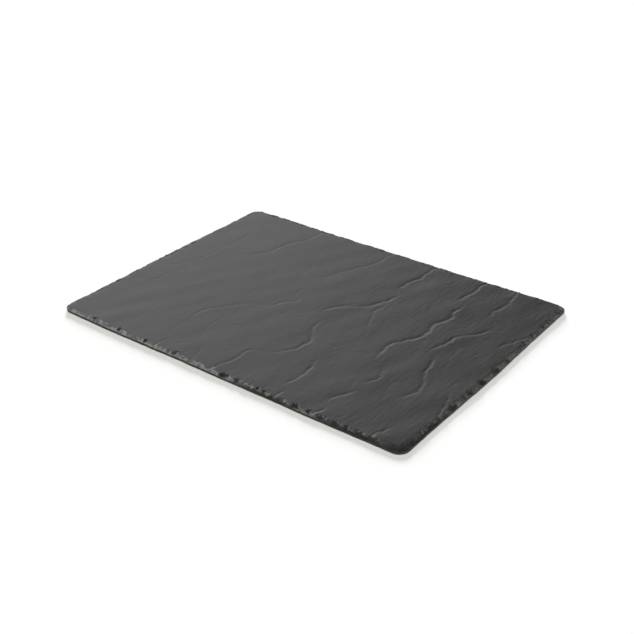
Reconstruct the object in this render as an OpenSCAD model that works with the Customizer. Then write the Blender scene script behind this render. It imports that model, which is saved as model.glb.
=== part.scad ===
// Rectangular slate-effect serving platter on four stick-on feet.
// Millimetres, +Z up. The origin is on the table, under the middle of the platter.
// X runs along the long side, and the front is at -Y.

/* [Slab] */
// Length along X
length = 400; // [320:1:480]
// Width along Y
width = 300; // [220:1:380]
// Thickness from the base to the serving face
thickness = 4; // [3.6:0.1:5]
// Radius of the four corners in plan
corner_r = 10; // [8:0.5:25]
// Chamfer along the bottom edge
base_arris = 0.3; // [0.2:0.1:1]

/* [Knapped edge] */
// Height of the plain band below the knapped edge
band_h = 2.7; // [1.8:0.1:3.2]
// How far the knapped edge leans in before it is chipped
bevel_run = 2; // [1:0.1:3]
// Spacing of the broad chips along the edge
broad_pitch = 26; // [20:1:40]
// Radius of the broad chips
broad_r = 8; // [7:0.5:12]
// How far a broad chip eats into the serving face
broad_inset = 5; // [4:0.1:6]
// How far a broad chip eats down the side
broad_drop = 1.4; // [1:0.1:2]
// Spacing of the small chips along the edge
small_pitch = 9; // [7:0.5:16]
// Radius of the small chips
small_r = 4.5; // [4:0.5:8]
// How far a small chip eats into the serving face
small_inset = 3.2; // [2.4:0.1:4]
// How far a small chip eats down the side
small_drop = 1.1; // [0.8:0.1:1.8]

/* [Cleft face] */
// Depth of the deepest cleft
cleft_depth = 0.5; // [0.3:0.05:0.8]
// Width of the gentle slope on the left of a cleft
cleft_slope = 8; // [5:0.5:12]
// Width of the steep lip on the right of a cleft
cleft_lip = 2.4; // [1.6:0.1:3]
// Length over which a cleft fades at its ends, along Y
cleft_fade = 14; // [6:1:24]

/* [Feet] */
// Diameter of a foot where it is stuck on
foot_d = 12.7; // [8:0.1:18]
// Height of a foot without its film
foot_h = 1.5; // [1.4:0.1:3]
// Radius round the foot's lower edge
foot_round = 0.6; // [0.2:0.1:1]
// Thickness of the adhesive film
film_t = 0.2; // [0.1:0.05:0.4]
// Depth of the round seat that locates a foot
seat_depth = 1.2; // [0.4:0.1:1.3]
// Gap between a foot and the wall of its seat
seat_gap = 0.4; // [0.2:0.1:1]
// Distance from the platter's sides to the middle of a foot
foot_inset = 35; // [20:1:60]

/* [Hidden] */
$fn = 64;

slate = [0.24, 0.24, 0.25];
rubber = [0.10, 0.10, 0.11];
clear_glue = [0.80, 0.79, 0.74];

// Margin by which a cutter passes the face that it cuts
past = 1;

// The foot stands on the table, the film on the foot, and the seat's roof on the film.
film_z = foot_h;
roof_z = film_z + film_t;
base_z = roof_z - seat_depth;
seat_d = foot_d + 2 * seat_gap;
foot_x = length / 2 - foot_inset;
foot_y = width / 2 - foot_inset;

// A spread of values from 0 to 1 that never repeats: item i of series k
golden = 0.618034;
function spread(i, k) = (i * golden + k * golden * golden) % 1;
function between(low, high, share) = low + (high - low) * share;

// Chips differ from each other: their place within the spacing, their radius and their bite
function chip_shift(i, k) = between(0.1, 0.9, spread(i, k));
function chip_size(i, k) = between(0.8, 1.2, spread(i, k));
function chip_bite(i, k) = between(0.65, 1.15, spread(i, k));

// Walk along the outline, anticlockwise from the front left: [x, y, direction that faces out]
flat_x = length - 2 * corner_r;
flat_y = width - 2 * corner_r;
quarter = PI * corner_r / 2;
outline = 2 * (flat_x + flat_y) + 4 * quarter;

function corner_point(x, y, start, along) =
  let (a = start + along / quarter * 90)
  [x + corner_r * cos(a), y + corner_r * sin(a), a];

function half_walk(s) =
  s < flat_x ? [s - flat_x / 2, -width / 2, -90]
  : s < flat_x + quarter ? corner_point(flat_x / 2, -flat_y / 2, -90, s - flat_x)
  : s < flat_x + quarter + flat_y ? [length / 2, s - flat_x - quarter - flat_y / 2, 0]
  : corner_point(flat_x / 2, flat_y / 2, 0, s - flat_x - quarter - flat_y);

function walk(s) =
  let (half = outline / 2, far = s >= half, p = half_walk(far ? s - half : s))
  far ? [-p[0], -p[1], p[2] + 180] : p;

// A ball of radius r that eats `inset` into the face and `drop` down the side has its middle
// `out` beyond the side and `up` above the face. Both follow from the two points that it passes.
function ball_place(r, inset, drop) =
  let (
    slope = drop / inset,
    shift = (drop * drop - inset * inset) / (2 * inset),
    a = slope * slope + 1,
    b = 2 * slope * (shift + inset),
    c = (shift + inset) * (shift + inset) - r * r,
    up = (sqrt(b * b - 4 * a * c) - b) / (2 * a)
  )
  [slope * up + shift, up];

// Each cleft is [share of the full depth, points], from the back to the front.
// A point is in percent of the length and of the width, from the middle of the face.
// A cleft that runs out over an edge starts or ends beyond it.
clefts = [
  [0.55, [[-41, 38], [-40, 26], [-40.5, 14], [-41, 4], [-43.5, -5], [-42, -10], [-41.5, -16], [-44, -25]]],
  [0.70, [[-24, 56], [-25, 40], [-27.5, 33], [-28.5, 24], [-31, 18], [-35, 13], [-39, 9]]],
  [0.45, [[-20, 44], [-17, 36], [-15.5, 29], [-13.5, 22], [-13, 15], [-12, 13], [-13, 7]]],
  [0.65, [[-1, 56], [-1.5, 38], [-4, 31], [-6, 25], [-7, 20], [-10, 13]]],
  [0.75, [[-9, 10], [-7.5, 4], [-5, 0.5], [-8, -4], [-8.5, -7.5], [-14, -11], [-18, -18], [-21, -24],
          [-20, -33]]],
  [0.50, [[-21, -32], [-20, -38], [-18.5, -44], [-18.5, -56]]],
  [0.50, [[-17, -17], [-14.5, -24], [-14.5, -31], [-12, -37], [-9, -41], [-7.5, -47], [-7, -56]]],
  [0.95, [[13, 58], [12.5, 38], [11.5, 32], [12, 25]]],
  [1.00, [[13.5, 26], [12.5, 17], [10, 10.5], [5.5, 6], [3.5, 1.5], [2, -3]]],
  [0.70, [[13.5, 17], [13, 9], [15, 3], [16, -3]]],
  [0.45, [[17, -4], [20, -7], [22, -12], [25, -15]]],
  [0.80, [[5, -4], [6, -12], [9, -18], [8.5, -24], [6, -30], [0.5, -34], [0.5, -40], [-1, -45],
          [-1.5, -56]]],
  [0.90, [[28, 58], [27.5, 40], [26.5, 30]]],
  [1.00, [[29, 32], [29, 24], [29.5, 19], [28, 14], [29, 7], [27.5, 1], [25, -4], [25, -9], [25.5, -15]]],
  [0.75, [[28.5, -15], [30.5, -22], [30, -27], [28, -31]]],
  [0.90, [[30.5, -30], [28.5, -36], [27, -41], [27, -44]]],
  [0.80, [[29, -42], [27.5, -49], [26, -58]]],
  [0.85, [[14, -23], [16.5, -31], [16.5, -38], [15, -45]]],
  [0.75, [[17.5, -42], [17, -49], [16.5, -58]]],
  [0.85, [[35, 58], [37.5, 40], [36.5, 32], [37.5, 26]]],
  [0.95, [[40.5, 24], [38.5, 16], [35, 10], [35, 5], [33, -3]]],
  [0.80, [[35, -1], [37, -8], [38, -13], [40, -19], [40, -25], [37, -31]]],
  [0.50, [[39, -29], [41, -38]]],
  [0.80, [[44, -39], [42, -46], [42, -58]]],
  [0.80, [[51, 36], [48.5, 22], [46, 15], [45.5, 10]]],
  [0.55, [[49, 8], [46.5, 0]]],
  [0.60, [[44.5, -12], [47, -20], [48.5, -28], [49.5, -36]]],
  [0.40, [[-34, 14], [-31, 7], [-30, -1], [-31.5, -8], [-33, -14]]],
  [0.45, [[-35, -22], [-32, -27], [-31.5, -33], [-29, -39], [-27, -47]]]
];

// Where a cleft lies over the face: the cross direction runs smoothly through the points
steps = 3;
function bend(a, b, c, d, t) =
  b + t * ((c - a) / 2 + t * (a - 2.5 * b + 2 * c - d / 2 + t * (1.5 * (b - c) + (d - a) / 2)));
function cleft_path(points) =
  let (last = len(points) - 1)
  [
    for (i = [0 : last], j = [0 : (i < last ? steps - 1 : 0)])
      let (
        t = j / steps,
        before = points[max(i - 1, 0)],
        here = points[i],
        next = points[min(i + 1, last)],
        after = points[min(i + 2, last)]
      )
      [
        bend(before[0], here[0], next[0], after[0], t) * length / 100,
        between(here[1], next[1], t) * width / 100
      ]
  ];

// Depth of a cleft at a distance from its nearer end: it rises out of the face at the end
rise_out = 0.1;
function cleft_floor(peak, from_end) =
  let (t = min(from_end / cleft_fade, 1))
  between(-rise_out, peak, t * t * (3 - 2 * t));

// Section of a cleft in X and Z, about its lowest point: gentle slope, lowest point, steep lip.
// The knee is a share of the slope's width and height, and the section's top clears the face.
cleft_clear = 0.25;
cleft_knee = [0.27, 0.47];
cleft_top = cleft_depth + cleft_clear;
cleft_section = [
  [-cleft_slope, cleft_top],
  [-cleft_slope * cleft_knee[0], cleft_top * cleft_knee[1]],
  [0, 0],
  [cleft_lip, cleft_top]
];

// Platter shape before it is chipped: two crossing bars with a chamfered section, and round corners
module slab_bar(long, across) {
  half = across / 2;
  side = [[half - base_arris, 0], [half, base_arris], [half, band_h], [half - bevel_run, thickness]];
  mirrored = [for (i = [3 : -1 : 0]) [-side[i][0], side[i][1]]];
  rotate([90, 0, 90])
    linear_extrude(long, center = true)
      polygon(concat(side, mirrored));
}

module slab_corner() {
  rotate_extrude()
    polygon([
      [0, 0], [corner_r - base_arris, 0], [corner_r, base_arris], [corner_r, band_h],
      [corner_r - bevel_run, thickness], [0, thickness]
    ]);
}

module slab_blank() {
  slab_bar(flat_x, width);
  rotate(90) slab_bar(flat_y, length);
  for (x = [-1, 1], y = [-1, 1])
    translate([x * flat_x / 2, y * flat_y / 2, 0]) slab_corner();
}

// One chip: a ball that eats into the edge at a place along the outline
module chip(s, r, inset, drop) {
  at = walk(s % outline);
  place = ball_place(r, inset, drop);
  translate([at[0] + place[0] * cos(at[2]), at[1] + place[0] * sin(at[2]), thickness + place[1]])
    sphere(r);
}

module chips(pitch, r, inset, drop, series) {
  count = round(outline / pitch);
  for (i = [0 : count - 1])
    chip(
      (i + chip_shift(i, series)) * outline / count,
      r * chip_size(i, series + 1),
      inset * chip_bite(i, series + 2),
      drop * chip_bite(i, series + 3)
    );
}

// One cleft: its section swept along its path
module cleft(peak, points) {
  path = cleft_path(points);
  n = len(path);
  k = len(cleft_section);
  rings = [
    for (p = path)
      let (floor_z = thickness - cleft_floor(peak, min(path[0][1] - p[1], p[1] - path[n - 1][1])))
      for (q = cleft_section) [p[0] + q[0], p[1], floor_z + q[1]]
  ];
  sides = [
    for (i = [0 : n - 2], j = [0 : k - 1])
      let (a = i * k + j, b = i * k + (j + 1) % k)
      each [[a, a + k, b + k], [a, b + k, b]]
  ];
  first = [[0, 1, 2], [0, 2, 3]];
  last = [for (f = first) [for (i = [2, 1, 0]) f[i] + (n - 1) * k]];
  polyhedron(rings, concat(first, last, sides));
}

// The blank with its first `count` clefts, cut one after another
module cleaved_blank(count) {
  if (count == 0)
    slab_blank();
  else
    difference() {
      cleaved_blank(count - 1);
      cleft(clefts[count - 1][0] * cleft_depth, clefts[count - 1][1]);
    }
}

module slate_slab() {
  color(slate)
    translate([0, 0, base_z])
      difference() {
        cleaved_blank(len(clefts));
        chips(broad_pitch, broad_r, broad_inset, broad_drop, 0);
        chips(small_pitch, small_r, small_inset, small_drop, 4);
        for (x = [-1, 1], y = [-1, 1])
          translate([x * foot_x, y * foot_y, -past]) cylinder(h = seat_depth + past, d = seat_d);
      }
}

// Feet: pads with a rounded lower edge
module foot(x, y) {
  r = foot_d / 2;
  color(rubber)
    translate([x * foot_x, y * foot_y, 0])
      rotate_extrude()
        polygon(concat(
          [[0, 0]],
          [for (a = [-90 : 15 : 0]) [r - foot_round + foot_round * cos(a), foot_round + foot_round * sin(a)]],
          [[r, foot_h], [0, foot_h]]
        ));
}

// Films: double-sided adhesive discs between the feet and the roofs of their seats
module film(x, y) {
  color(clear_glue)
    translate([x * foot_x, y * foot_y, film_z])
      cylinder(h = film_t, d = foot_d);
}

slate_slab();
foot(-1, -1);  // foot_front_left
foot(1, -1);  // foot_front_right
foot(-1, 1);  // foot_back_left
foot(1, 1);  // foot_back_right
film(-1, -1);  // film_front_left
film(1, -1);  // film_front_right
film(-1, 1);  // film_back_left
film(1, 1);  // film_back_right
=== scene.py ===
"""Finish, studio and camera of a rectangular slate-effect platter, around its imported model."""

import logging
import math
from collections.abc import Mapping, Sequence
from dataclasses import dataclass
from enum import Enum
from typing import Any, Union

import bpy
import numpy as np
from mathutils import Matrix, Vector
from mathutils.bvhtree import BVHTree
from mathutils.geometry import delaunay_2d_cdt


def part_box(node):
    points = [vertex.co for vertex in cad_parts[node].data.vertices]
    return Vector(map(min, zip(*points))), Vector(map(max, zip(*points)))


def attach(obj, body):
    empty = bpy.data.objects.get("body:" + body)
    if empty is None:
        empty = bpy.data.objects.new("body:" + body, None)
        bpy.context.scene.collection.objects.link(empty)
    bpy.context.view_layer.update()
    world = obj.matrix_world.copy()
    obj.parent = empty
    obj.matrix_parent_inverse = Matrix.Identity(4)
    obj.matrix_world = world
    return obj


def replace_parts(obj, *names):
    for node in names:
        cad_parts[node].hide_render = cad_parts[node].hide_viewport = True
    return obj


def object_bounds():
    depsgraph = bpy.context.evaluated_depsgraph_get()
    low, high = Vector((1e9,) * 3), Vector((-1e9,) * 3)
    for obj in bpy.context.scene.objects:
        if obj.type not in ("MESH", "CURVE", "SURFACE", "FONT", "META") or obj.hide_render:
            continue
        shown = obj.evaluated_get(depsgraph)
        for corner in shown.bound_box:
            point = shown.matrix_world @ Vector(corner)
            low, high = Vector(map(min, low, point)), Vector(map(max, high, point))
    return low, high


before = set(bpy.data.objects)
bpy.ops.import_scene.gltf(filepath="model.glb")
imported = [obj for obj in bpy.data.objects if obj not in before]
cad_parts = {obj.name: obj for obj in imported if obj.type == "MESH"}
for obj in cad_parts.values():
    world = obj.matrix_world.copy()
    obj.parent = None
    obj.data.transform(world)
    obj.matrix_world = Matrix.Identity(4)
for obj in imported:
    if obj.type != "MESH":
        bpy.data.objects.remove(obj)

MM = 0.001
PHOTO_PX = 634
BODY = "root"
CAD_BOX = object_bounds()
LOG = logging.getLogger("platter")

# Half the platter's length and width, in millimetres
HALF_X, HALF_Y = (side / MM for side in CAD_BOX[1][:2])

# The relief and the glaze's painted light change from the left of the slab to its right, over this stretch
# of X
RIGHT_FROM = -60 * MM
RIGHT_RISE = 200 * MM

# Kind of triangulation that leaves an outline's holes open, and how close two points count as one
OUTLINE_WITH_HOLES = 4
ONE_POINT = 1e-7

# Sockets of a Mix node that mixes colours: its share, its two colours and its result
MIX_SHARE = 0
MIX_FIRST = 6
MIX_SECOND = 7
MIX_RESULT = 2

# Middle value of a noise pattern, and how many of its spreads a rounding reaches to each side
NOISE_MIDDLE = 0.5
ROUNDING_REACH = 3

DOWN = Vector((0, 0, -1))

Array = np.ndarray
Colour = tuple[float, float, float]
Span = tuple[float, float]
Operand = Union["Signal", float]


class Corner(Enum):
    """The platter's four corners, as the names of their pieces end."""

    FRONT_LEFT = "front_left"
    FRONT_RIGHT = "front_right"
    BACK_LEFT = "back_left"
    BACK_RIGHT = "back_right"

    def node(self, piece: str) -> str:
        """Name of the CAD node of a piece at this corner, such as foot_front_left."""
        return f"{piece}_{self.value}"


class Mark(Enum):
    """What the slab's mesh tells its glaze, point by point, from 0 to 1: pale scars, partly painted light,
    painted shade, and a painted highlight on lips.
    """

    KNAPPED = "knapped"
    POOLED = "pooled"
    WORN = "worn"


Marks = dict[Mark, Array]


class Signal:
    """An output socket of a shader node, on which sums are written as Python expressions."""

    def __init__(self, paint: "Paint", socket: bpy.types.NodeSocket | None) -> None:
        """Keep the socket and the paint that it belongs to."""
        self.paint = paint
        self.socket = socket

    def _sum(self, operation: str, first: Operand, second: Operand) -> "Signal":
        """Add one Math node.

        Args:
            operation: the Math node's operation.
            first: its first value.
            second: its second value.

        Returns:
            The node's result.
        """
        return self.paint.node("ShaderNodeMath", {"operation": operation}, {0: first, 1: second})

    def __add__(self, other: Operand) -> "Signal":
        """This signal plus another value."""
        return self._sum("ADD", self, other)

    def __radd__(self, other: float) -> "Signal":
        """A number plus this signal."""
        return self._sum("ADD", other, self)

    def __sub__(self, other: Operand) -> "Signal":
        """This signal minus another value."""
        return self._sum("SUBTRACT", self, other)

    def __rsub__(self, other: float) -> "Signal":
        """A number minus this signal."""
        return self._sum("SUBTRACT", other, self)

    def __mul__(self, other: Operand) -> "Signal":
        """This signal times another value."""
        return self._sum("MULTIPLY", self, other)

    def __rmul__(self, other: float) -> "Signal":
        """A number times this signal."""
        return self._sum("MULTIPLY", other, self)

    def ramp(self, low: float, high: float) -> "Signal":
        """Rise smoothly from 0 to 1.

        Args:
            low: the value at which the result is 0.
            high: the value at which the result is 1.

        Returns:
            The smooth step.
        """
        return self.paint.node(
            "ShaderNodeMapRange",
            {"interpolation_type": "SMOOTHSTEP"},
            {"Value": self, "From Min": low, "From Max": high},
        )


class Paint:
    """A node tree that is filled by expressions."""

    def __init__(self, tree: bpy.types.NodeTree) -> None:
        """Start from an empty tree."""
        self.tree = tree
        tree.nodes.clear()

    @classmethod
    def material(cls, name: str) -> tuple[bpy.types.Material, "Paint"]:
        """Make an empty material.

        Args:
            name: the material's name.

        Returns:
            The material, and the paint that fills it.
        """
        made = bpy.data.materials.new(name)
        made.use_nodes = True
        return made, cls(made.node_tree)

    def node(
        self,
        kind: str,
        settings: Mapping[str, Any] | None = None,
        sockets: Mapping[str | int, Any] | None = None,
        output: str | int = 0,
    ) -> Signal:
        """Add any node.

        Args:
            kind: the node's type.
            settings: its own settings, which are set first.
            sockets: values or links of its input sockets, by name or number.
            output: the output socket to hand back.

        Returns:
            That output, or an empty signal for a node with no outputs.
        """
        made = self.tree.nodes.new(kind)
        for name, value in (settings or {}).items():
            setattr(made, name, value)
        for name, value in (sockets or {}).items():
            if isinstance(value, Signal):
                self.tree.links.new(value.socket, made.inputs[name])
            else:
                made.inputs[name].default_value = value
        return Signal(self, made.outputs[output] if made.outputs else None)

    def places(self, stretch: Sequence[float] = (1.0, 1.0, 1.0)) -> Signal:
        """Coordinates in metres on the object.

        Args:
            stretch: factor on each axis; a small one draws a pattern out along that axis.

        Returns:
            The stretched coordinates.
        """
        here = self.node("ShaderNodeTexCoord", output="Object")
        return self.node("ShaderNodeVectorMath", {"operation": "MULTIPLY"}, {0: here, 1: stretch})

    def mark(self, mark: Mark) -> Signal:
        """A mark that the mesh carries."""
        return self.node("ShaderNodeAttribute", {"attribute_name": mark.value}, output="Fac")

    def noise(self, places: Signal, size: float, detail: float, gain: float = 0.5) -> Signal:
        """Soft random pattern.

        Args:
            places: coordinates to draw it on.
            size: size of its largest lumps, in metres.
            detail: how many finer layers it has.
            gain: strength of each finer layer.

        Returns:
            Values about 0.5.
        """
        return self.node(
            "ShaderNodeTexNoise",
            sockets={"Vector": places, "Scale": 1 / size, "Detail": detail, "Roughness": gain},
        )

    def mix(self, share: Signal, first: Signal | Colour, second: Signal | Colour) -> Signal:
        """Mix two colours.

        Args:
            share: 0 for the first colour, 1 for the second.
            first: a colour or a signal.
            second: a colour or a signal.

        Returns:
            The mixed colour.
        """
        sockets = {MIX_SHARE: share, MIX_FIRST: self._rgba(first), MIX_SECOND: self._rgba(second)}
        return self.node("ShaderNodeMix", {"data_type": "RGBA"}, sockets, output=MIX_RESULT)

    def bump(self, height: Signal, depth: float) -> Signal:
        """Turn a height into a normal.

        Args:
            height: the relief, from 0 to 1.
            depth: how deep a relief of 1 is, in metres.

        Returns:
            The bumped normal.
        """
        return self.node("ShaderNodeBump", sockets={"Height": height, "Distance": depth, "Strength": 1.0})

    def surface(self, sockets: Mapping[str, Any]) -> None:
        """End the tree in one Principled shader.

        Args:
            sockets: values or links of the shader's sockets, with colours of three numbers.
        """
        given = {name: self._rgba(value) for name, value in sockets.items()}
        shader = self.node("ShaderNodeBsdfPrincipled", sockets=given)
        self.node("ShaderNodeOutputMaterial", sockets={"Surface": shader})

    @staticmethod
    def _rgba(value: Any) -> Any:
        """A colour of three numbers with an alpha of 1; anything else as it is."""
        return (*value, 1.0) if isinstance(value, tuple) and len(value) == 3 else value


@dataclass(frozen=True)
class SlateFinish:
    """Satin slate-effect glaze: fine grained, pale on bare scars, which is partly painted light, paler on
    lips as a painted highlight, and darker as painted shade in pockets, on the band and thinly on the far
    scars.
    """

    dark: Colour = (0.020, 0.020, 0.021)
    pale: Colour = (0.031, 0.031, 0.031)
    # Paler colour of the lips that face the light: a painted highlight
    lip: Colour = (0.082, 0.082, 0.081)
    highlight_share: float = 0.8
    # Pale colour of bare scars: partly their own colour, partly a painted highlight
    scar: Colour = (0.180, 0.179, 0.175)
    scar_share: float = 0.85
    scar_patch: float = 7 * MM
    scar_least: float = 0.25
    # Painted shade: a near-black laid in the pockets, on the band and on the far scars
    pool: Colour = (0.010, 0.010, 0.010)
    shade_share: float = 0.9
    ior: float = 1.6
    roughness: float = 0.43
    rough_scar: float = -0.08
    rough_shaded: float = 0.5
    rough_patch: float = 0.16
    rough_grain: float = 0.2
    patch: float = 60 * MM
    grain: float = 1.1 * MM
    grain_gain: float = 0.6
    fleck: float = 0.35 * MM
    fleck_share: float = 0.3
    fleck_bump: float = 0.2
    bump_depth: float = 0.02 * MM
    layers: int = 4
    fine_layers: int = 2
    tones: Span = (0.3, 0.7)
    bare: Span = (0.35, 0.65)
    along_y: tuple[float, float, float] = (1.0, 0.5, 1.0)

    def make(self) -> bpy.types.Material:
        """Build the glaze.

        Returns:
            The material, for a mesh that carries every mark.
        """
        made, paint = Paint.material("slate_glaze")
        streaks = paint.places(self.along_y)
        patches = paint.noise(streaks, self.patch, self.layers)
        grain = paint.noise(streaks, self.grain, self.layers, self.grain_gain)
        flecks = paint.noise(paint.places(), self.fleck, self.fine_layers)
        tone = patches * (1 - self.fleck_share) + flecks * self.fleck_share
        pooled = paint.mark(Mark.POOLED)
        bare = paint.noise(paint.places(), self.scar_patch, self.fine_layers).ramp(*self.bare)
        scarred = paint.mark(Mark.KNAPPED) * (self.scar_least + bare * (1 - self.scar_least))
        body = paint.mix(tone.ramp(*self.tones), self.dark, self.pale)
        # Painted highlight: lips that face the light turn paler
        body = paint.mix(paint.mark(Mark.WORN) * self.highlight_share, body, self.lip)
        # Bare scars turn pale: partly their own colour, partly painted light
        body = paint.mix(scarred * self.scar_share, body, self.scar)
        # Painted shade: pockets, the band and the far scars turn near black
        body = paint.mix(pooled * self.shade_share, body, self.pool)
        matte = self.roughness + scarred * self.rough_scar + pooled * self.rough_shaded
        matte = matte + (patches - NOISE_MIDDLE) * self.rough_patch
        matte = matte + (grain - NOISE_MIDDLE) * self.rough_grain
        relief = grain * (1 - self.fleck_bump) + flecks * self.fleck_bump
        paint.surface(
            {
                "Base Color": body,
                "IOR": self.ior,
                "Roughness": matte,
                "Normal": paint.bump(relief, self.bump_depth),
            }
        )
        return made


@dataclass(frozen=True)
class RubberFinish:
    """Matte black moulded rubber with a fine spark-eroded texture and a little dust."""

    colour: Colour = (0.018, 0.018, 0.019)
    dust: Colour = (0.045, 0.043, 0.040)
    dusty: Span = (0.5, 0.8)
    roughness: float = 0.72
    rough_texture: float = 0.3
    texture: float = 0.25 * MM
    texture_depth: float = 0.03 * MM
    cloud: float = 4 * MM
    layers: int = 3

    def make(self) -> bpy.types.Material:
        """Build the rubber.

        Returns:
            The material.
        """
        made, paint = Paint.material("foot_rubber")
        texture = paint.noise(paint.places(), self.texture, self.layers)
        cloud = paint.noise(paint.places(), self.cloud, self.layers)
        paint.surface(
            {
                "Base Color": paint.mix(cloud.ramp(*self.dusty), self.colour, self.dust),
                "Roughness": self.roughness + (texture - NOISE_MIDDLE) * self.rough_texture,
                "Normal": paint.bump(texture, self.texture_depth),
            }
        )
        return made


@dataclass(frozen=True)
class FilmFinish:
    """Milky double-sided adhesive film with faint trapped air."""

    colour: Colour = (0.62, 0.60, 0.52)
    cloudy: Colour = (0.74, 0.73, 0.68)
    airy: Span = (0.4, 0.7)
    roughness: float = 0.35
    rough_bubble: float = 0.2
    bubble: float = 0.8 * MM
    layers: int = 2

    def make(self) -> bpy.types.Material:
        """Build the film.

        Returns:
            The material.
        """
        made, paint = Paint.material("adhesive_film")
        bubbles = paint.noise(paint.places(), self.bubble, self.layers)
        paint.surface(
            {
                "Base Color": paint.mix(bubbles.ramp(*self.airy), self.colour, self.cloudy),
                "Roughness": self.roughness + (bubbles - NOISE_MIDDLE) * self.rough_bubble,
            }
        )
        return made


@dataclass(frozen=True)
class FloorFinish:
    """Seamless white studio floor."""

    colour: Colour = (0.90, 0.90, 0.895)

    def make(self) -> bpy.types.Material:
        """Build the floor's white.

        Returns:
            The material.
        """
        made, paint = Paint.material("studio_floor")
        paint.surface({"Base Color": self.colour, "Roughness": 1.0, "Specular IOR Level": 0.0})
        return made


@dataclass(frozen=True)
class PlanMap:
    """Values on an even grid over the platter's plan: rows along Y and columns along X."""

    low: tuple[float, float]
    step: float
    values: Array

    @classmethod
    def survey(cls, tree: BVHTree, low: Vector, high: Vector, step: float) -> "PlanMap":
        """Drop a plumb line on every point of the grid.

        Args:
            tree: the surface.
            low: its lowest corner.
            high: its highest corner.
            step: spacing of the grid, in metres.

        Returns:
            The heights that the lines found; the lowest corner's where they found nothing.
        """
        columns = round((high.x - low.x) / step) + 1
        rows = round((high.y - low.y) / step) + 1
        heights = np.full((rows, columns), low.z)
        for j in range(rows):
            for i in range(columns):
                hit = tree.ray_cast(Vector((low.x + i * step, low.y + j * step, high.z + step)), DOWN)[0]
                if hit is not None:
                    heights[j, i] = hit.z
        return cls((low.x, low.y), step, heights)

    def softened(self, along_x: float, along_y: float) -> "PlanMap":
        """Round off every ridge and crease.

        Args:
            along_x: spread of the rounding along X, in metres.
            along_y: spread of the rounding along Y.

        Returns:
            The softer map.
        """
        soft = self.values
        for axis, spread in ((1, along_x), (0, along_y)):
            reach = math.ceil(ROUNDING_REACH * spread / self.step)
            offsets = np.arange(-reach, reach + 1)
            weights = np.exp(-0.5 * (offsets * self.step / spread) ** 2)
            weights /= weights.sum()
            pad = [(reach, reach) if k == axis else (0, 0) for k in (0, 1)]
            padded = np.pad(soft, pad, mode="edge")
            size = soft.shape[axis]
            soft = sum(w * padded.take(range(k, k + size), axis) for k, w in enumerate(weights))
        return PlanMap(self.low, self.step, soft)

    def rise_along_x(self) -> "PlanMap":
        """How steeply the values rise along X."""
        return PlanMap(self.low, self.step, np.gradient(self.values, self.step, axis=1))

    def at(self, spots: Array) -> Array:
        """Values at any places.

        Args:
            spots: X and Y of each place.

        Returns:
            The values between the grid's points.
        """
        rows, columns = self.values.shape
        u = np.clip((spots[:, 0] - self.low[0]) / self.step, 0, columns - 1)
        v = np.clip((spots[:, 1] - self.low[1]) / self.step, 0, rows - 1)
        i = np.minimum(u.astype(int), columns - 2)
        j = np.minimum(v.astype(int), rows - 2)
        u, v = u - i, v - j
        z = self.values
        front = z[j, i] * (1 - u) + z[j, i + 1] * u
        back = z[j + 1, i] * (1 - u) + z[j + 1, i + 1] * u
        return front * (1 - v) + back * v


@dataclass(frozen=True)
class Swell:
    """A soft random swell: waves of random direction and phase about two wavelengths."""

    height: float
    length_x: float
    length_y: float
    seed: int
    waves: int = 40

    def at(self, spots: Array) -> Array:
        """Heights at any places.

        Args:
            spots: X and Y of each place.

        Returns:
            The swell there, in the unit of its height.
        """
        draw = np.random.default_rng(self.seed)
        total = np.zeros(len(spots))
        for _ in range(self.waves):
            turns = draw.normal(size=2) / (self.length_x, self.length_y)
            total += np.cos(2 * math.pi * (spots @ turns + draw.uniform()))
        return total * self.height * math.sqrt(2 / self.waves)


@dataclass(frozen=True)
class Terraces:
    """Faint steps of the cleft face: each falls slowly towards the right and ends in a narrow lip."""

    height: float = 0.2 * MM
    pitch: float = 16 * MM
    lip: float = 0.13
    warp: Swell = Swell(0.6, 40 * MM, 50 * MM, 21)
    patch: Swell = Swell(0.9, 40 * MM, 40 * MM, 22)

    def at(self, spots: Array) -> Array:
        """Heights at any places.

        Args:
            spots: X and Y of each place.

        Returns:
            The steps there, in metres; they fade in and out in patches.
        """
        turn = (spots[:, 0] / self.pitch + self.warp.at(spots)) % 1
        slope = 1 - self.lip
        step = np.where(turn < slope, 1 - turn / slope, (turn - slope) / self.lip)
        return self.height * (step - 0.5) * np.clip(self.patch.at(spots), 0, 1)


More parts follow.
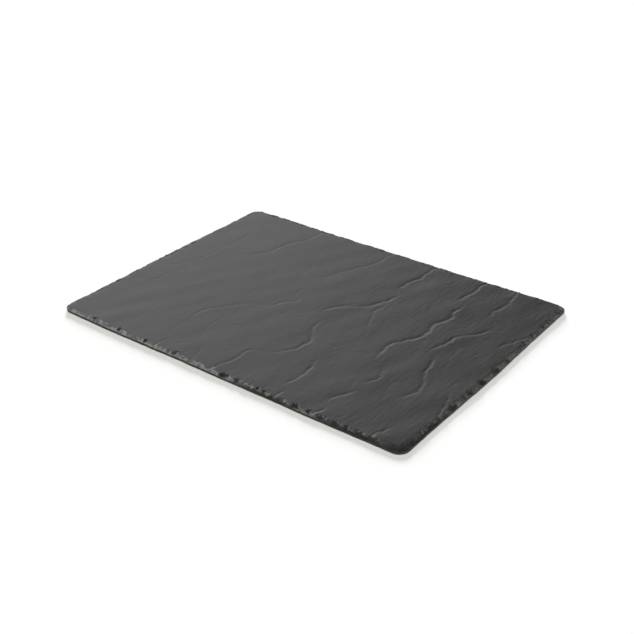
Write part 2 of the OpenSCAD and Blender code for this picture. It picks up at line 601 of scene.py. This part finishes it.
@dataclass(frozen=True)
class Flakes:
    """Scars that struck-off flakes leave along the knapped edge."""

    pitch: float = 5.0 * MM
    lean: float = 0.45
    reach_along: float = 3.4 * MM
    reach_across: float = 2.0 * MM
    depth: float = 0.45 * MM
    width: float = 4.5 * MM
    narrow: float = 0.45
    fade: float = 1.5 * MM
    scales: Span = (0.6, 1.3)
    peaks: Span = (0.1, 1.0)
    rows: int = 3
    seed: int = 7

    def depths(self, along: Array, inward: Array, lap: float, right: Array) -> Array:
        """Depth of the scars.

        Args:
            along: places along the edge, in metres.
            inward: distances in from the outline.
            lap: length of the whole edge.
            right: how far right each place is, from 0 to 1; the strip of scars is narrower there.

        Returns:
            The depth for each distance and place, where the deepest scar wins.
        """
        draw = np.random.default_rng(self.seed)
        count = round(lap / self.pitch)
        deepest = np.zeros((len(inward), len(along)))
        for row in range(self.rows):
            for k in range(count):
                middle = (k + draw.uniform()) * lap / count
                level = (row + draw.uniform()) * self.width / self.rows
                scale = draw.uniform(*self.scales)
                peak = draw.uniform(*self.peaks)
                apart = (along - middle + lap / 2) % lap - lap / 2
                reach = self.reach_along * scale * (1 + self.lean * np.sign(apart))
                near = np.flatnonzero(np.abs(apart) < reach)
                bowl = (apart[near] / reach[near]) ** 2
                bowl = bowl + ((inward[:, None] - level) / (self.reach_across * scale)) ** 2
                deepest[:, near] = np.maximum(deepest[:, near], self.depth * scale * (peak - bowl))
        width = self.width * (1 - self.narrow * right)
        return deepest * np.clip((width + self.fade - inward[:, None]) / self.fade, 0, 1)


@dataclass(frozen=True)
class Pocket:
    """A deep scar at one place of the edge, darkened with painted shade; all in millimetres."""

    x: float
    y: float
    reach_x: float
    reach_y: float

    def share(self, spots: Array) -> Array:
        """How deep the pocket is.

        Args:
            spots: X and Y of any places, in metres.

        Returns:
            0 at the pocket's rim and outside it, and 1 in its middle.
        """
        u = (spots[:, 0] / MM - self.x) / self.reach_x
        v = (spots[:, 1] / MM - self.y) / self.reach_y
        return np.sqrt(np.clip(1 - u * u - v * v, 0, 1))


@dataclass(frozen=True)
class Bulge:
    """A gentle bow of the outline at one place, outwards or inwards; all in millimetres."""

    x: float
    y: float
    reach: float
    out: float

    def at(self, spots: Array) -> Array:
        """How far the outline bows out.

        Args:
            spots: X and Y of any places, in metres.

        Returns:
            The bow there, in metres.
        """
        apart = np.linalg.norm(spots / MM - (self.x, self.y), axis=1)
        return self.out * MM * np.exp(-((apart / self.reach) ** 2))


# Pockets of the front edge, of its end near the right corner, and of the right edge, in millimetres:
# place along the edge, reach to both sides of it, and how far in from the side the middle lies
FRONT_POCKETS = (
    (-155, 1.8, 3.5), (-121, 2, 3.5), (-86, 3, 3.5), (-49, 3.5, 3.5), (12, 6, 3), (27, 3, 3), (50, 2, 3.5),
    (57, 2, 3.5),
)
NEAR_POCKETS = (
    (92, 4.5, 3), (106, 3, 3), (119, 5, 2.5), (134, 6, 2), (145, 3, 2), (156, 5, 3), (172, 8, 2),
)
RIGHT_POCKETS = (
    (-131, 5, 2), (-117, 3, 2.5), (-104, 6, 2), (-90, 3, 2.5), (-68, 8, 2), (-50, 3, 2.5), (-40, 4, 2),
    (-19, 6, 2), (6, 6, 2), (26, 4, 2), (62, 2, 3), (79, 3, 3), (101, 3, 3), (111, 2, 3), (135, 2, 3),
)

# How far in from the side the front pockets end, and the other ones
FRONT_END = 6.3
RIGHT_END = 5.6

# Long pockets under the brink and round the corner nearest to the camera
LONG_POCKETS = (
    Pocket(60, -149.5, 36, 2.2),
    Pocket(155, -149.5, 48, 2.6),
    Pocket(191, -147, 14, 8),
    Pocket(197, -141, 5, 8),
    Pocket(199.5, -110, 2.4, 38),
)


def put(name: str, data: bpy.types.ID, away: Vector | None = None) -> bpy.types.Object:
    """Put a new object into the scene.

    Args:
        name: its name.
        data: its mesh, lamp or camera.
        away: for a lamp or camera, the direction from what it looks at.

    Returns:
        The object.
    """
    made = bpy.data.objects.new(name, data)
    bpy.context.collection.objects.link(made)
    if away is not None:
        made.rotation_mode = "QUATERNION"
        made.rotation_quaternion = away.to_track_quat("Z", "Y")
    return made


def rightness(spots: Array) -> Array:
    """0 on the left of the slab, rising to 1 on its right."""
    return np.clip((spots[:, 0] - RIGHT_FROM) / RIGHT_RISE, 0, 1)


def livelier(spots: Array, calm: float) -> Array:
    """A lower, calm level on the left of the slab, rising to 1 on its right."""
    return calm + (1 - calm) * rightness(spots)


def is_far(spots: Array) -> Array:
    """Whether each place is nearer to the back and left edges than to the front and right ones."""
    return spots[:, 0] / HALF_X < spots[:, 1] / HALF_Y


@dataclass
class Face:
    """The serving face: the CAD clefts, softened, with a finer relief of its own."""

    tree: BVHTree
    low: Vector
    high: Vector
    survey_step: float = 0.5 * MM
    soften_x: float = 0.6 * MM
    soften_y: float = 0.9 * MM
    sink: float = 0.25 * MM
    relief: tuple[Swell | Terraces, ...] = (
        Swell(0.14 * MM, 60 * MM, 100 * MM, 11),
        Swell(0.026 * MM, 5 * MM, 28 * MM, 12),
        Terraces(),
    )
    calm_relief: float = 0.5
    calm_clefts: float = 0.7
    wander: Swell = Swell(0.7 * MM, 40 * MM, 14 * MM, 13)
    fray: Swell = Swell(0.2, 30 * MM, 12 * MM, 14)
    lip_from: float = 0.04
    lip_rise: float = 0.15

    def __post_init__(self) -> None:
        """Survey the clefts and how steeply they rise."""
        survey = PlanMap.survey(self.tree, self.low, self.high, self.survey_step)
        self.surveyed = survey.softened(self.soften_x, self.soften_y)
        self.rise = self.surveyed.rise_along_x()

    def wandered(self, spots: Array) -> Array:
        """Places moved a little along X, so that the lips wander."""
        return spots + np.column_stack([self.wander.at(spots), np.zeros(len(spots))])

    def clefts(self, spots: Array) -> Array:
        """Heights of the clefts, which wander, fray, and are shallower on the left."""
        depth = self.surveyed.at(self.wandered(spots)) - self.high.z
        return self.high.z + depth * (1 + self.fray.at(spots)) * livelier(spots, self.calm_clefts)

    def ripples(self, spots: Array) -> Array:
        """The finer relief, calmer on the left, and sunk so that it stays under the CAD slab's top."""
        total = sum(swell.at(spots) for swell in self.relief)
        return np.minimum(total * livelier(spots, self.calm_relief) - self.sink, 0)

    def lip_highlight(self, spots: Array) -> Array:
        """Painted highlight: how much paler the glaze is on lips, which rise towards the right and so face
        the light, and less on the left.
        """
        lip = np.clip((self.rise.at(self.wandered(spots)) - self.lip_from) / self.lip_rise, 0, 1)
        return np.clip(lip * (1 + self.fray.at(spots)) * livelier(spots, self.calm_relief), 0, 1)


@dataclass(frozen=True)
class Edge:
    """The knapped edge and its bowed outline.

    Scars lie all round it, pockets along the front and the right, and notches along the back and the left.
    """

    flakes: Flakes = Flakes()
    pockets: tuple[Pocket, ...] = (
        *(Pocket(x, middle - HALF_Y, reach, FRONT_END - middle) for x, reach, middle in FRONT_POCKETS),
        *(Pocket(x, middle - HALF_Y, reach, RIGHT_END - middle) for x, reach, middle in NEAR_POCKETS),
        *(Pocket(HALF_X - middle, y, RIGHT_END - middle, reach) for y, reach, middle in RIGHT_POCKETS),
        *LONG_POCKETS,
    )
    pocket_depth: float = 0.9 * MM
    ragged: tuple[Swell, Swell] = (Swell(0.6 * MM, 5 * MM, 5 * MM, 15), Swell(0.6 * MM, 5 * MM, 5 * MM, 16))
    notches: Swell = Swell(0.9 * MM, 16 * MM, 16 * MM, 19)
    outline: tuple[Swell | Bulge, ...] = (
        Swell(0.1 * MM, 30 * MM, 30 * MM, 18),
        Bulge(-198, -148, 10, -1.0),
        Bulge(-115, -150, 45, 0.8),
        Bulge(15, -150, 30, 0.5),
        Bulge(110, -150, 40, 0.7),
        Bulge(200, -110, 40, -0.1),
        Bulge(200, -5, 60, 1.3),
        Bulge(200, 130, 50, -0.1),
        Bulge(145, 150, 35, 0.9),
        Bulge(-160, 150, 45, 1.2),
        Bulge(-200, 10, 50, 1.2),
    )
    scar_from: float = 0.05 * MM
    scar_rise: float = 0.25 * MM
    # The pale scars fade by this share towards the right, away from the light: painted light
    painted_light_fade: float = 0.4
    # Painted shade: the pockets' dark is shifted this far back along the edge, onto one wall of each; the
    # far scars get a little of it
    shade_lag: float = 1.5 * MM
    far_shade: float = 0.25

    def pooled(self, spots: Array) -> Array:
        """How deep the pockets are, from 0 to 1, which also sets the painted shade in them; their rims are
        ragged.
        """
        moved = spots + np.column_stack([swell.at(spots) for swell in self.ragged])
        return np.max([pocket.share(moved) for pocket in self.pockets], axis=0)

    def losses(self, spots: Array, share: float) -> Array:
        """Depth of the pockets and notches.

        Args:
            spots: X and Y of each place.
            share: how far out the places lie, from 0 at the rim of the edge to 1 at the side.

        Returns:
            The depth at each place, in metres.
        """
        notched = np.clip(self.notches.at(spots), 0, None) * is_far(spots)
        return self.pooled(spots) * self.pocket_depth + notched * share

    def marks(self, spots: Array, ahead: Array, lost: Array) -> Marks:
        """What the edge tells the glaze.

        Args:
            spots: X and Y of each place.
            ahead: direction along the edge at each place.
            lost: how much has been struck off there, in metres.

        Returns:
            Bare scars, pale as partly painted light and fainter on the right; and painted shade in the
            pockets, shifted a little back along the edge onto one wall of each, and thinly on the far scars.
        """
        far = is_far(spots)
        scarred = np.clip((lost - self.scar_from) / self.scar_rise, 0, 1)
        return {
            # Pale bare scars, partly painted light, fading towards the right
            Mark.KNAPPED: np.where(far, 0, scarred * (1 - self.painted_light_fade * rightness(spots))),
            # Painted shade in the pockets and, thinly, on the far scars
            Mark.POOLED: np.where(far, scarred * self.far_shade, self.pooled(spots + self.shade_lag * ahead)),
        }

    def stray(self, spots: Array, outward: Array) -> Array:
        """How far the outline strays from a true rectangle.

        Args:
            spots: X and Y of places on the outline.
            outward: outward direction at each place.

        Returns:
            The shift of each place, in metres.
        """
        return outward * sum(bow.at(spots) for bow in self.outline)[:, None]


class Skin:
    """Points, marks and faces of a mesh in the making."""

    def __init__(self) -> None:
        """Start with nothing."""
        self.points: list[Array] = []
        self.marks: dict[Mark, list[Array]] = {mark: [] for mark in Mark}
        self.faces: list[list[int]] = []
        self.count = 0

    def add(self, spots: Array, heights: Array | float, marks: Marks | None = None) -> Array:
        """Add points.

        Args:
            spots: X and Y of each point.
            heights: Z of each point, or of all of them.
            marks: the points' marks; 0 where none is given.

        Returns:
            The points' numbers.
        """
        start = self.count
        self.count += len(spots)
        self.points.append(np.column_stack([spots, np.broadcast_to(heights, len(spots))]))
        for mark, values in self.marks.items():
            values.append((marks or {}).get(mark, np.zeros(len(spots))))
        return np.arange(start, self.count)

    def join(self, inner: Array, outer: Array, parts: Array | None = None) -> None:
        """Close the strip between two rings; a doubled point makes a face with a corner less.

        Args:
            inner: points of the inner ring.
            outer: points of the outer ring.
            parts: steps of the outer ring for each step of the inner one; one each if not given.
        """
        parts = np.ones(len(inner), int) if parts is None else parts
        start = 0
        for k, steps in enumerate(parts):
            far = [outer[(start + s) % len(outer)] for s in range(steps + 1)]
            corners = [inner[k], *far, inner[(k + 1) % len(inner)]]
            self.faces.append(list(dict.fromkeys(int(c) for c in corners)))
            start += steps

    def mesh(self, name: str, crease: float) -> bpy.types.Mesh:
        """Make the mesh.

        Args:
            name: the mesh's name.
            crease: angle between faces from which an edge stays sharp, in degrees.

        Returns:
            The smooth-shaded mesh with its marks.
        """
        made = bpy.data.meshes.new(name)
        made.from_pydata(np.concatenate(self.points).tolist(), [], self.faces)
        for mark, values in self.marks.items():
            layer = made.attributes.new(mark.value, "FLOAT", "POINT")
            layer.data.foreach_set("value", np.concatenate(values))
        made.validate()
        made.polygons.foreach_set("use_smooth", [True] * len(made.polygons))
        made.set_sharp_from_angle(angle=math.radians(crease))
        return made


@dataclass(frozen=True)
class Walk:
    """Stations round a rectangle, anticlockwise from its front left: X, Y and outward angle of each."""

    stations: Array

    def outward(self) -> Array:
        """Outward direction at every station."""
        turn = self.stations[:, 2]
        return np.stack([np.cos(turn), np.sin(turn)], 1)

    def ahead(self) -> Array:
        """Direction of the walk at every station: outwards and a quarter turn on."""
        return self.outward() @ ((0, 1), (-1, 0))

    def offset(self, distance: float) -> Array:
        """X and Y at a distance outwards from every station."""
        return self.stations[:, :2] + distance * self.outward()

    def steps(self, distance: float) -> Array:
        """Length of the step from each station to the next, at a distance outwards."""
        spots = self.offset(distance)
        return np.linalg.norm(np.roll(spots, -1, 0) - spots, axis=1)

    def finer(self, parts: Array) -> "Walk":
        """Split every step.

        Args:
            parts: how many parts each step gets.

        Returns:
            The finer walk.
        """
        following = np.roll(self.stations, -1, 0)
        following[-1, 2] += 2 * math.pi
        split = [
            here + (after - here) * s / count
            for here, after, count in zip(self.stations, following, parts)
            for s in range(count)
        ]
        return Walk(np.array(split))


@dataclass
class Slab:
    """The cast slab in one skin: serving face, knapped edge, plain band, and underside with foot seats."""

    node: str = "slate_slab"
    slot: str = "slate"
    edge: Edge = Edge()
    corner_r: float = 10 * MM
    arris: float = 0.3 * MM
    crease: float = 24.0
    # Spacing of the face's points, and steps of each corner
    cell_x: float = 1.0 * MM
    cell_y: float = 2.5 * MM
    arc_cells: int = 16
    # Width of the knapped edge, of its blend into the face and of its last step, and spacing of its points
    rim: float = 7 * MM
    blend: float = 1 * MM
    brink: float = 0.05 * MM
    edge_pitch: float = 0.67 * MM
    edge_row: float = 0.5 * MM
    # Rows of the plain band, its least height, and how much painted shade darkens it in general and where it
    # faces right
    band_rows: int = 3
    band_least: float = 1.9 * MM
    band_shade: float = 0.6
    right_shade: float = 0.35
    # Spacing of the underside's points, and room round each film and sides of its seat
    base_cell: float = 12 * MM
    seat_gap: float = 0.4 * MM
    seat_sides: int = 48

    def __post_init__(self) -> None:
        """Take the slab's place from the frame and survey its face."""
        self.low, self.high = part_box(self.node)
        self.core = np.array((self.high.x - self.corner_r, self.high.y - self.corner_r))
        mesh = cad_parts[self.node].data
        corners = [v.co for v in mesh.vertices]
        self.tree = BVHTree.FromPolygons(corners, [p.vertices[:] for p in mesh.polygons])
        self.face = Face(self.tree, self.low, self.high)
        self.skin = Skin()

    def build(self) -> bpy.types.Object:
        """Make the slab's mesh: face, knapped edge, band and underside.

        Returns:
            The object, riding on its body in place of the CAD slab.
        """
        columns, rows = (round(2 * c / cell) for c, cell in zip(self.core, (self.cell_x, self.cell_y)))
        x = np.linspace(-self.core[0], self.core[0], columns + 1)
        y = np.linspace(-self.core[1], self.core[1], rows + 1)
        spots = np.stack(np.meshgrid(x, y), 2).reshape(-1, 2)
        grid = self.lay_face(spots).reshape(rows + 1, columns + 1)
        for front, back in zip(grid, grid[1:]):
            for k in range(columns):
                self.skin.faces.append([int(p) for p in (front[k], front[k + 1], back[k + 1], back[k])])
        ring, walk = self.border(grid, spots)
        ring = self.face_rings(ring, walk)
        parts = np.ceil(walk.steps(self.corner_r) / self.edge_pitch).astype(int)
        fine = walk.finer(parts)
        ring, heights = self.edge_rings(ring, fine, parts)
        ring = self.band_rings(ring, fine, heights)
        self.underside(ring, fine)
        made = put("slab", self.skin.mesh("slab", self.crease))
        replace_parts(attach(made, BODY), self.node)
        return made

    def lay_face(self, spots: Array) -> Array:
        """Add points of the serving face.

        Args:
            spots: X and Y of each point.

        Returns:
            The points' numbers.
        """
        heights = self.face.clefts(spots) + self.face.ripples(spots)
        # The lips that face the light carry a painted highlight
        return self.skin.add(spots, heights, {Mark.WORN: self.face.lip_highlight(spots)})

    def border(self, grid: Array, spots: Array) -> tuple[Array, Walk]:
        """Walk round the core grid, and round each corner in place.

        Args:
            grid: numbers of the grid's points, in rows along Y.
            spots: X and Y of the points.

        Returns:
            The grid's point at each station, and the walk.
        """
        points = []
        turns = []
        for quarter, side in enumerate((grid[0], grid[:, -1], grid[-1, ::-1], grid[::-1, 0])):
            out = math.pi / 2 * (quarter - 1)
            points += [*side, *[side[-1]] * (self.arc_cells - 1)]
            turns += [out] * len(side)
            turns += [out + math.pi / 2 * k / self.arc_cells for k in range(1, self.arc_cells)]
        return np.array(points), Walk(np.column_stack([spots[points], turns]))

    def face_rings(self, ring: Array, walk: Walk) -> Array:
        """Carry the face from the core rectangle out to the rim.

        Args:
            ring: the ring of points to start from.
            walk: the stations on the core rectangle.

        Returns:
            The outermost ring of points.
        """
        count = round((self.corner_r - self.rim) / self.cell_x)
        for distance in np.linspace(0, self.corner_r - self.rim, count + 1)[1:-1]:
            outer = self.lay_face(walk.offset(distance))
            self.skin.join(ring, outer)
            ring = outer
        return ring

    def stray(self, walk: Walk) -> Array:
        """How far the outline strays at every station of a walk."""
        return self.edge.stray(walk.offset(self.corner_r), walk.outward())

    def plumb(self, spots: Array) -> Array:
        """Heights of the CAD slab's top at any places."""
        return np.array([self.tree.ray_cast(Vector((*p, self.high.z + MM)), DOWN)[0].z for p in spots])

    def edge_rings(self, ring: Array, walk: Walk, parts: Array) -> tuple[Array, Array]:
        """Carry the skin over the knapped edge by plumb lines.

        Args:
            ring: the ring of points to start from.
            walk: the edge's own, finer stations.
            parts: how many of its steps each step of the ring takes.

        Returns:
            The outermost ring of points and their heights.
        """
        steps = walk.steps(self.corner_r)
        along = np.cumsum(steps) - steps
        inward = np.linspace(self.rim, self.brink, round(self.rim / self.edge_row) + 1)
        right = rightness(walk.offset(self.corner_r))
        flaked = self.edge.flakes.depths(along, inward, steps.sum(), right)
        stray = self.stray(walk)
        for row, distance in enumerate(inward):
            spots = walk.offset(self.corner_r - distance)
            share = 1 - distance / self.rim
            raw = self.plumb(spots)
            whole = np.clip((distance - self.rim + self.blend) / self.blend, 0, 1)
            lost = flaked[row] + self.edge.losses(spots, share)
            height = whole * self.face.clefts(spots) + (1 - whole) * raw + self.face.ripples(spots) - lost
            height = np.maximum(height, self.low.z + self.band_least)
            marks = self.edge.marks(spots, walk.ahead(), self.high.z - raw + lost)
            # The lips that face the light carry a painted highlight
            marks[Mark.WORN] = self.face.lip_highlight(spots)
            outer = self.skin.add(spots + stray * share, height, marks)
            self.skin.join(ring, outer, parts if row == 0 else None)
            ring = outer
        return ring, height

    def band_rings(self, ring: Array, walk: Walk, top: Array) -> Array:
        """Carry the skin straight down the plain band.

        Args:
            ring: the outermost ring of the knapped edge.
            walk: its stations.
            top: its heights.

        Returns:
            The lowest ring of points.
        """
        spots = walk.offset(self.corner_r) + self.stray(walk)
        foot = self.low.z + self.arris
        # The band is darkened with painted shade, less where it faces right
        rightward = np.clip(walk.outward()[:, 0], 0, 1)
        pooled = self.band_shade + (self.right_shade - self.band_shade) * rightward
        for share in np.linspace(0, 1, self.band_rows):
            outer = self.skin.add(spots, top + (foot - top) * share, {Mark.POOLED: pooled})
            self.skin.join(ring, outer)
            ring = outer
        return ring

    def underside(self, ring: Array, walk: Walk) -> None:
        """Close the base, with a round seat for each foot.

        Args:
            ring: the lowest ring of the band.
            walk: its stations.
        """
        edge = walk.offset(self.corner_r - self.arris) + self.stray(walk)
        rim = self.skin.add(edge, self.low.z)
        self.skin.join(ring, rim)
        self.fill_base([(edge, rim), *(self.sink_seat(corner) for corner in Corner)])

    def sink_seat(self, corner: Corner) -> tuple[Array, Array]:
        """Sink a foot's round seat into the underside.

        Args:
            corner: the foot's corner.

        Returns:
            X and Y of the points round the seat's mouth, and their numbers.
        """
        low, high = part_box(corner.node("film"))
        middle, radius = (low + high) / 2, (high.x - low.x) / 2 + self.seat_gap
        turn = np.linspace(0, 2 * math.pi, self.seat_sides, endpoint=False)
        circle = np.column_stack([middle.x + radius * np.cos(turn), middle.y + radius * np.sin(turn)])
        mouth = self.skin.add(circle, self.low.z)
        roof = self.skin.add(circle, high.z)
        self.skin.join(roof, mouth)
        self.skin.faces.append(roof[::-1].tolist())
        return circle, mouth

    def fill_base(self, outlines: Sequence[tuple[Array, Array]]) -> None:
        """Fill the base with triangles, inside its outline and round the mouths of the seats.

        Args:
            outlines: X and Y of the points of the outline and of each mouth, and their numbers.
        """
        spots = []
        numbers = []
        edges = []
        for outline, laid in outlines:
            loop = [*range(len(spots), len(spots) + len(outline))]
            edges += zip(loop, loop[1:] + loop[:1])
            spots += [Vector(p) for p in outline]
            numbers += laid.tolist()
        inner = self.core - self.base_cell / 2
        counts = [round(2 * c / self.base_cell) + 1 for c in inner]
        for px in np.linspace(-inner[0], inner[0], counts[0]):
            for py in np.linspace(-inner[1], inner[1], counts[1]):
                spots.append(Vector((px, py)))
        flat, _, triangles, origins, _, _ = delaunay_2d_cdt(spots, edges, [], OUTLINE_WITH_HOLES, ONE_POINT)
        known = {}
        for k, origin in enumerate(origins):
            given = [o for o in origin if o < len(numbers)]
            if given:
                known[k] = numbers[given[0]]
            else:
                known[k] = int(self.skin.add(np.array([flat[k]]), self.low.z)[0])
        self.skin.faces += [[known[v] for v in reversed(t)] for t in triangles]

    def dress(self, made: bpy.types.Object) -> None:
        """Give the slab its glaze."""
        made.data.materials.append(SlateFinish().make())


@dataclass(frozen=True)
class Feet:
    """The four stick-on feet and their adhesive films, which keep their CAD shapes."""

    rubber: RubberFinish = RubberFinish()
    adhesive: FilmFinish = FilmFinish()

    def dress(self) -> list[bpy.types.Object]:
        """Give every foot its rubber and every film its adhesive.

        Returns:
            The dressed objects.
        """
        dressed = []
        for piece, finish in (("foot", self.rubber), ("film", self.adhesive)):
            made = finish.make()
            for corner in Corner:
                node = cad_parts[corner.node(piece)]
                for material_slot in node.material_slots:
                    material_slot.material = made
                dressed.append(node)
        return dressed


@dataclass(frozen=True)
class Panel:
    """A soft bright panel in the sky, which shows only as the glaze's sheen.

    It is full within the inner angle from its middle and gone at the outer one, in degrees.
    """

    azimuth: float
    elevation: float
    inner: float
    outer: float
    level: float


@dataclass(frozen=True)
class Lamp:
    """A wide soft lamp that gives a share of the floor's white, and no gloss."""

    name: str
    azimuth: float
    elevation: float
    spread: float
    share: float
    tint: Colour


@dataclass
class Studio:
    """White floor with a low white wall round it, dim sky with two bright panels, two lamps, and camera."""

    floor_radius: float = 6.0
    floor_sides: int = 64
    # The camera: its place, what it looks at, and its lens, with the focal length in the photograph's pixels
    azimuth: float = 36.988
    elevation: float = 29.41
    distance: float = 1015.0 * MM
    aim: tuple[float, float, float] = (9.6 * MM, -9.2 * MM, 0.0)
    focal_px: float = 1038.3
    sensor: float = 36.0
    near_clip: float = 10 * MM
    # The sky: its own level, and the wall's, which fades between two elevations in degrees
    white: Colour = (1.0, 1.0, 1.0)
    dim: float = 0.01
    wall: Span = (5.0, 12.0)
    wall_level: float = 1.0
    panels: tuple[Panel, ...] = (
        Panel(azimuth=240.0, elevation=18.0, inner=10.0, outer=42.0, level=1.15),
        Panel(azimuth=278.0, elevation=50.0, inner=5.0, outer=28.0, level=1.8),
    )
    lamps: tuple[Lamp, ...] = (
        Lamp("back_lamp", 219.0, 14.0, spread=18.0, share=0.38, tint=(1.02, 1.00, 1.09)),
        Lamp("front_lamp", 38.0, 48.0, spread=50.0, share=0.64, tint=(0.99, 1.00, 0.945)),
    )

    @staticmethod
    def away(azimuth: float, elevation: float) -> Vector:
        a, e = math.radians(azimuth), math.radians(elevation)
        return Vector((math.sin(a) * math.cos(e), -math.cos(a) * math.cos(e), math.sin(e)))

    def lay_floor(self) -> bpy.types.Object:
        """Lay a round white floor under the platter.

        Returns:
            The floor, which is no part of the object.
        """
        mesh = bpy.data.meshes.new("floor")
        turn = np.linspace(0, 2 * math.pi, self.floor_sides, endpoint=False)
        ring = [(self.floor_radius * math.cos(t), self.floor_radius * math.sin(t), 0.0) for t in turn]
        mesh.from_pydata(ring, [], [list(range(self.floor_sides))])
        mesh.materials.append(FloorFinish().make())
        made = put("floor", mesh)
        return made

    def hang_sky(self) -> bpy.types.World:
        """Hang the wall and the dim sky with its panels, which show as sheen; the lamps light the rest.

        Returns:
            The world.
        """
        made = bpy.data.worlds.new("studio_sky")
        made.use_nodes = True
        paint = Paint(made.node_tree)
        way = paint.node("ShaderNodeTexCoord", output="Generated")
        height = paint.node("ShaderNodeSeparateXYZ", sockets={"Vector": way}, output="Z")
        low, high = (math.sin(math.radians(angle)) for angle in self.wall)
        level = self.dim + (1 - height.ramp(low, high)) * self.wall_level
        for panel in self.panels:
            bright = self.away(panel.azimuth, panel.elevation)
            toward = paint.node(
                "ShaderNodeVectorMath", {"operation": "DOT_PRODUCT"}, {0: way, 1: bright}, output="Value"
            )
            edge, core = (math.cos(math.radians(angle)) for angle in (panel.outer, panel.inner))
            level = level + toward.ramp(edge, core) * panel.level
        shade = paint.node("ShaderNodeBackground", sockets={"Strength": level, "Color": (*self.white, 1.0)})
        paint.node("ShaderNodeOutputWorld", sockets={"Surface": shade})
        made.cycles_visibility.diffuse = False
        bpy.context.scene.world = made
        return made

    def hang_lamps(self) -> list[bpy.types.Object]:
        """Hang the lamps, each strong enough for its share of the floor's white.

        Returns:
            The lamps.
        """
        # A sun of this strength, straight overhead, makes the floor white
        overhead = math.pi / FloorFinish().colour[0]
        hung = []
        for lamp in self.lamps:
            light = bpy.data.lights.new(lamp.name, "SUN")
            light.angle = math.radians(lamp.spread)
            light.color = lamp.tint
            light.energy = lamp.share * overhead / math.sin(math.radians(lamp.elevation))
            made = put(lamp.name, light, self.away(lamp.azimuth, lamp.elevation))
            made.visible_glossy = False
            hung.append(made)
        return hung

    def set_camera(self) -> bpy.types.Object:
        """Stand the camera where the photograph was taken.

        Returns:
            The camera.
        """
        lens = bpy.data.cameras.new("camera")
        lens.sensor_width = self.sensor
        lens.lens = self.focal_px / PHOTO_PX * self.sensor
        lens.clip_start = self.near_clip
        away = self.away(self.azimuth, self.elevation)
        made = put("camera", lens, away)
        made.location = Vector(self.aim) + away * self.distance
        bpy.context.scene.camera = made
        return made


def main() -> None:
    """Build the platter's pieces in order, then the studio."""
    logging.basicConfig(level=logging.INFO, format="%(message)s")
    bpy.context.scene.view_settings.view_transform = "Standard"
    studio = Studio()
    studio.set_camera()
    slab = Slab()
    made = slab.build()
    slab.dress(made)
    LOG.info("%s: %d faces", made.name, len(made.data.polygons))
    for piece in Feet().dress():
        LOG.info("%s: %s", piece.name, piece.material_slots[0].material.name)
    for set_piece in (studio.lay_floor(), studio.hang_sky(), *studio.hang_lamps()):
        LOG.info("%s in place", set_piece.name)


if __name__ == "__main__":
    main()
